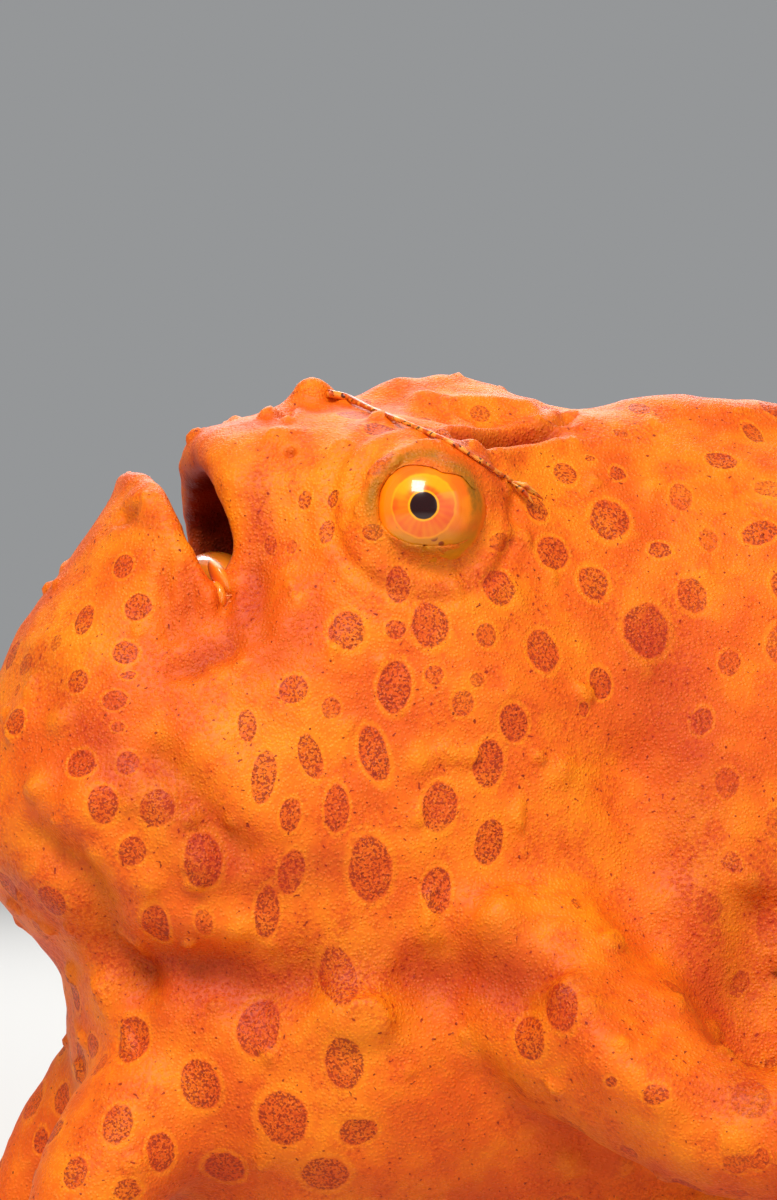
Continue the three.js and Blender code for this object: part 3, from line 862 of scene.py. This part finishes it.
mesh_piece(
    "dorsal_fin_skin",
    fin_mesh(
        "dorsal", 12, dorsal_root, dorsal_tip, lambda u: Y_WAY, (0.5, 1.0),
        lambda u, v: 1.2 * v * v * math.sin(u * 9),
    ),
    FIN, "fin", "dorsal_fin",
)
mesh_piece(
    "anal_fin_skin",
    fin_mesh(
        "anal", 7, anal_root, anal_tip, lambda u: Y_WAY, (0.5, 1.0),
        lambda u, v: 0.9 * v * v * math.sin(u * 6),
    ),
    FIN, "fin", "anal_fin",
)
mesh_piece(
    "caudal_fin_skin",
    fin_mesh(
        "caudal", 9, caudal_root, caudal_tip, lambda u: Y_WAY, (0.6, 1.3),
        lambda u, v: 5 * v * v, sink=5.0, rows=40,
    ),
    FIN, "fin", "caudal_fin",
)


def spread_fin(name, at, rays, start, end, near, far, side, node):
    """A hand or foot laid on the floor, its rays spread like fingers."""

    def ring(u, r):
        turn = lerp(start, end, u)
        return vec(at[0] + math.cos(turn) * r, side * (at[1] + math.sin(turn) * r), 0)

    def tip(u):
        return ring(u, far * (0.84 + 0.16 * math.sin(math.pi * u)))

    mesh = fin_mesh(
        name, rays, lambda u: ring(u, near), tip, lambda u: vec(0, 0, 1), (0.35, 1.3),
        flat=True, sink=0.5,
    )
    mesh_piece(name + "_skin", mesh, FIN, "fin", node)


for side, word in ((1, "left"), (-1, "right")):
    spread_fin("pectoral_fin_" + word, WRIST, 10, 3.4, 6.6, 3.5, 25, side, "pectoral_fin_" + word)
    spread_fin("pelvic_fin_" + word, ANKLE, 5, 2.1, 4.5, 2.5, 16, side, "pelvic_fin_" + word)


# Eyes


def eye_finish():
    """A dark pupil and a gold ring under a wet coat, then clear flesh to an olive outer ring."""
    f = Finish("frogfish eye", Specular_IOR_Level=0.25, Coat_Roughness=0.04)
    away = f.mark("away")
    spoke = f.mark("spoke")
    rise = f.mark("rise")
    fibres = f.noise(1100, 3, 0.6)
    patches = f.noise(330, 2, 0.5)
    turn = spoke * 23 + fibres * 3
    streak = turn.sum("SINE", turn) * 0.5 + 0.5
    wave = away + (fibres - 0.5) * 0.35
    iris = (streak * 0.3 + patches.above(0.4, 0.6) * 0.6).mixed(tone(236, 118, 2), tone(228, 76, 0))
    iris = (rise.above(0.4, 2.2) * wave.above(1.6, 2.2) * 0.7).mixed(iris, tone(252, 176, 8))
    flesh = patches.above(0.4, 0.62).mixed(tone(236, 104, 2), tone(244, 126, 4))
    flesh = (rise.below(-2.9, -1.4) * 0.55).mixed(flesh, tone(186, 140, 16))
    olive = (fibres.above(0.4, 0.6)).mixed(tone(178, 104, 6), tone(140, 92, 14))
    colour = wave.above(2.95, 3.2).mixed(iris, flesh)
    colour = (wave.above(2.85, 3.0) * wave.below(3.0, 3.2) * 0.55).mixed(colour, tone(255, 170, 16))
    arc = wave.above(4.2, 4.8) * wave.below(5.4, 5.9) * (0.35 + 0.6 * rise.above(-2.0, 1.5))
    colour = arc.mixed(colour, olive)
    colour = (wave.above(5.5, 5.9) * 0.8).mixed(colour, ORANGE)
    edge = away + (fibres - 0.5) * 0.1
    colour = (edge.below(1.4, 1.52) * 0.8).mixed(colour, tone(255, 176, 20))
    colour = edge.below(1.22, 1.34).mixed(colour, tone(40, 3, 8))
    dots = f.cells(620)
    band = away.above(3.1, 3.4) * away.below(4.6, 5.0) * rise.below(-1.6, -1.0)
    colour = (dots.below(0.2, 0.28) * band * 0.85).mixed(colour, tone(120, 26, 4))
    wet = away.below(3.2, 4.6)
    f.feed(Base_Color=colour, Coat_Weight=wet * 0.6, Roughness=0.5 - 0.3 * wet)
    f.bump(fibres * away.above(3.4, 4.6), 0.5, 0.15)
    return f.material


EYE_GLOSS = eye_finish()


def eye_mesh(side):
    """An eyeball whose pole faces out, with a low dome of cornea."""
    bm = bmesh.new()
    bmesh.ops.create_uvsphere(bm, u_segments=48, v_segments=40, radius=1)
    mesh = bpy.data.meshes.new("eye")
    bm.to_mesh(mesh)
    bm.free()
    flat = np.empty(len(mesh.vertices) * 3, np.float32)
    mesh.vertices.foreach_get("co", flat)
    g = flat.reshape(-1, 3).astype(float)
    turn = np.array(Vector((0, 0, 1)).rotation_difference(Vector(gaze(side))).to_matrix())
    off = np.hypot(g[:, 0], g[:, 1])
    dome = np.exp(-((off / 0.42) ** 2)) * (g[:, 2] > 0) * 0.07
    radius = (EYE_RADIUS + 0.4) * (0.985 + dome * 0.3)
    out = (g * radius[:, None]) @ turn.T + [EYE[0], side * EYE[1], EYE[2]]
    set_coords(mesh, out)
    paint(mesh, "away", np.where(g[:, 2] > 0, off * EYE_RADIUS, EYE_RADIUS))
    paint(mesh, "spoke", np.arctan2(g[:, 1], g[:, 0]))
    paint(mesh, "rise", out[:, 2] - EYE[2])
    return mesh


mesh_piece("eye_left_ball", eye_mesh(-1), EYE_GLOSS, "eye", "eye_left")
mesh_piece("eye_right_ball", eye_mesh(1), EYE_GLOSS, "eye", "eye_right")


# Fishing rod, lure, teeth and the lining of the mouth


def tube(line, radii, sides=10, flat=1.0):
    """A closed tube along a smooth line through the given points."""
    line = np.asarray(line, float)
    lengths = np.concatenate([[0], np.cumsum(np.linalg.norm(np.diff(line, axis=0), axis=1))])
    steps = max(12, int(lengths[-1] / 0.35))
    t = np.linspace(0, lengths[-1], steps + 1)
    path = np.stack([np.interp(t, lengths, line[:, k]) for k in range(3)], 1)
    for _ in range(10):
        path[1:-1] = (path[:-2] + 2 * path[1:-1] + path[2:]) / 4
    radius = np.interp(t / t[-1], np.linspace(0, 1, len(radii)), radii)
    way = np.gradient(path, axis=0)
    way /= np.linalg.norm(way, axis=1)[:, None]
    wide = np.cross(way, [0.1, 0.3, 1.0])
    wide /= np.linalg.norm(wide, axis=1)[:, None]
    high = np.cross(wide, way)
    bm = bmesh.new()
    bmesh.ops.create_grid(bm, x_segments=steps, y_segments=sides, size=0.5)
    for v in bm.verts:
        i = round((v.co.x + 0.5) * steps)
        turn = round((v.co.y + 0.5) * sides) % sides / sides * 2 * math.pi
        spread = wide[i] * math.cos(turn) + high[i] * math.sin(turn) * flat
        v.co = place(path[i] + spread * radius[i])
    bmesh.ops.remove_doubles(bm, verts=bm.verts, dist=1e-7)
    bmesh.ops.holes_fill(bm, edges=[e for e in bm.edges if e.is_boundary], sides=0)
    bmesh.ops.recalc_face_normals(bm, faces=bm.faces)
    return bm


def add_all(bm, *others):
    for other in others:
        mesh = bpy.data.meshes.new("part")
        other.to_mesh(mesh)
        other.free()
        bm.from_mesh(mesh)
        bpy.data.meshes.remove(mesh)
    return bm


def made_mesh(name, bm):
    mesh = bpy.data.meshes.new(name)
    bm.to_mesh(mesh)
    bm.free()
    return mesh


def rod_finish():
    """Clear pale skin with rust bands and dark dots."""
    f = Finish("rod and lure", Roughness=0.35, Subsurface_Weight=0.2, Subsurface_Scale=0.0008)
    bands = f.noise(900, 1, 0.4)
    dots = f.noise(2600, 0, 0.5)
    colour = bands.above(0.45, 0.55).mixed(tone(240, 150, 50), tone(200, 84, 16))
    colour = (dots.above(0.62, 0.66) * 0.9).mixed(colour, tone(70, 24, 8))
    f.feed(Base_Color=colour)
    f.bump(bands, 0.4, 0.1)
    return f.material


ROD = rod_finish()
rod_line = []
for px, py in [(326, 397), (345, 401), (370, 413), (400, 425), (450, 446), (480, 464), (508, 484)]:
    hit = seen(px, py)
    rod_line.append(hit[0] + hit[1] * 0.5)
rod = tube(rod_line, [0.42, 0.3, 0.28, 0.26, 0.24, 0.22])
mesh_piece("fishing_rod", made_mesh("rod", rod), ROD, "lure", "illicium")
end = rod_line[-1]
petals = []
PETALS = [
    (2.6, -0.5, -1.2, 0.55),
    (2.2, -0.25, -2.2, 0.5),
    (3.3, 0, -1.8, 0.6),
    (1.4, 0.25, -1.6, 0.45),
]
for *reach, size in PETALS:
    tip = end + reach
    line = [end - vec(0.2, 0, 0), (end + tip) / 2 + vec(0, -0.35, 0.2), tip]
    petals.append(tube(line, [0.15, size, 0.08], 8, 0.55))
lure = add_all(bmesh.new(), *petals)
mesh_piece("lure", made_mesh("lure", lure), ROD, "lure", "esca")


def spike(bm, foot, way, length, radius):
    """A small curved-looking tooth or papilla: a slender cone."""
    way = Vector(way).normalized()
    turn = way.to_track_quat("Z", "Y").to_matrix().to_4x4()
    matrix = Matrix.Translation(place(foot) + way * length * MM / 2) @ turn
    bmesh.ops.create_cone(
        bm, cap_ends=True, segments=6, radius1=radius * MM, radius2=radius * 0.2 * MM,
        depth=length * MM, matrix=matrix,
    )


def lip_line(side_points, steps):
    """Evenly spaced places just inside a lip, from one corner over the top to the other."""
    left = []
    for x, y, z in side_points:
        hit = smooth_skin.ray_cast(place((x, -40, z)), Vector((0, 1, 0)))[0]
        wide = -hit.y / MM - 0.9 if hit is not None and y > 10 else y
        left.append(vec(x, -min(wide, 17.4), z))
    line = np.array(left + [p * [1, -1, 1] for p in left[-2::-1]])
    lengths = np.concatenate([[0], np.cumsum(np.linalg.norm(np.diff(line, axis=0), axis=1))])
    t = np.linspace(0, lengths[-1], steps)
    return np.stack([np.interp(t, lengths, line[:, k]) for k in range(3)], 1)


def mouth_finish():
    """Wet flesh: cream at the upper edges, orange below."""
    f = Finish(
        "mouth lining",
        Roughness=0.22,
        Subsurface_Weight=0.3,
        Subsurface_Scale=0.001,
        Coat_Weight=0.6,
    )
    patches = f.noise(500, 2, 0.5)
    pale = f.mark("pale")
    cream = (pale + (patches - 0.5) * 0.6).above(0.35, 0.75)
    colour = cream.mixed(tone(246, 132, 34), tone(255, 226, 196))
    f.feed(Base_Color=colour)
    return f.material


LINING = mouth_finish()
teeth = bmesh.new()
TEETH = 76  # along each lip
SUNK = 0.4  # how far a tooth's foot sits in the lip
LOWER_LIP = [(18.3, 17, 72.5), (16.9, 17, 77), (14.9, 14, 81.5), (14.2, 6.5, 85.2), (13.7, 0, 85.9)]
UPPER_LIP = [(20.3, 17, 73.0), (21.6, 17, 77.5), (21.4, 14, 84.5), (20.6, 8, 87.8), (20.0, 0, 88.4)]
for lip, way in ((LOWER_LIP, vec(0.9, 0, 0.4)), (UPPER_LIP, vec(-0.95, 0, -0.2))):
    for foot in lip_line(lip, TEETH):
        wobble = rng.normal(0, 0.28, 3)
        inward = vec(0, -np.sign(foot[1]) * 0.35, 0)
        length = rng.uniform(0.1, 0.5) * (0.5 if abs(foot[1]) < 8 else 1)
        foot = foot + rng.normal(0, 0.15, 3) - way * SUNK
        spike(teeth, foot, way + inward + wobble, length + SUNK, 0.1)
teeth_mesh = made_mesh("teeth", teeth)
paint(teeth_mesh, "pale", np.full(len(teeth_mesh.vertices), 0.5))
mesh_piece("teeth", teeth_mesh, LINING, "mouth")


def lobe(bm, centre, size, lean):
    turn = Matrix.Rotation(lean, 4, "Y")
    scale = Matrix.Diagonal((*[s * MM for s in size], 1))
    matrix = Matrix.Translation(place(centre)) @ turn @ scale
    bmesh.ops.create_icosphere(bm, subdivisions=4, radius=1, matrix=matrix)


lining = bmesh.new()
lobe(lining, (22.0, 0, 75.2), (3.6, 9.5, 2.8), 0.2)
for side in (-1, 1):
    lobe(lining, (20.0, side * 13.6, 75.0), (0.8, 2.4, 2.4), -0.5)
    lobe(lining, (19.6, side * 14.2, 73.4), (0.8, 2.0, 1.6), -0.2)
lining_mesh = made_mesh("lining", lining)
heights = coords(lining_mesh)
pale = ramp(heights[:, 2] - 0.6 * np.abs(heights[:, 0] - 19.6), 74.8, 77.8)
paint(lining_mesh, "pale", pale * ramp(np.abs(heights[:, 1]), 9, 12.5))
mesh_piece("tongue_and_lining", lining_mesh, LINING, "mouth", "tongue")


# Floor and light

floor_mesh = bpy.data.meshes.new("floor")
bm = bmesh.new()
bmesh.ops.create_grid(bm, x_segments=1, y_segments=1, size=3)
bm.to_mesh(floor_mesh)
bm.free()
ground = bpy.data.objects.new("floor", floor_mesh)
bpy.context.scene.collection.objects.link(ground)
matt = Finish("pale floor", Roughness=0.8)
matt.shader.inputs["Base Color"].default_value = (0.72, 0.71, 0.69, 1)
floor_mesh.materials.append(matt.material)


def soft_light(name, where, size, power, colour=(1, 1, 1)):
    light = bpy.data.lights.new(name, "AREA")
    light.size = size
    light.energy = power
    light.color = colour
    lamp = bpy.data.objects.new(name, light)
    bpy.context.scene.collection.objects.link(lamp)
    lamp.location = place(where)
    aim = place((40, 0, 55)) - lamp.location
    lamp.rotation_euler = aim.to_track_quat("-Z", "Y").to_euler()


soft_light("key", (-120, -330, 460), 0.2, 3.0, (1, 0.97, 0.93))
soft_light("fill", (330, -420, 160), 0.4, 0.45)
soft_light("rim", (120, 420, 380), 0.35, 1.8)
world = bpy.data.worlds.new("studio")
bpy.context.scene.world = world
world.use_nodes = True
world.node_tree.nodes["Background"].inputs[0].default_value = (0.86, 0.88, 0.9, 1)
world.node_tree.nodes["Background"].inputs[1].default_value = 0.35
bpy.context.scene.view_settings.view_transform = "Standard"
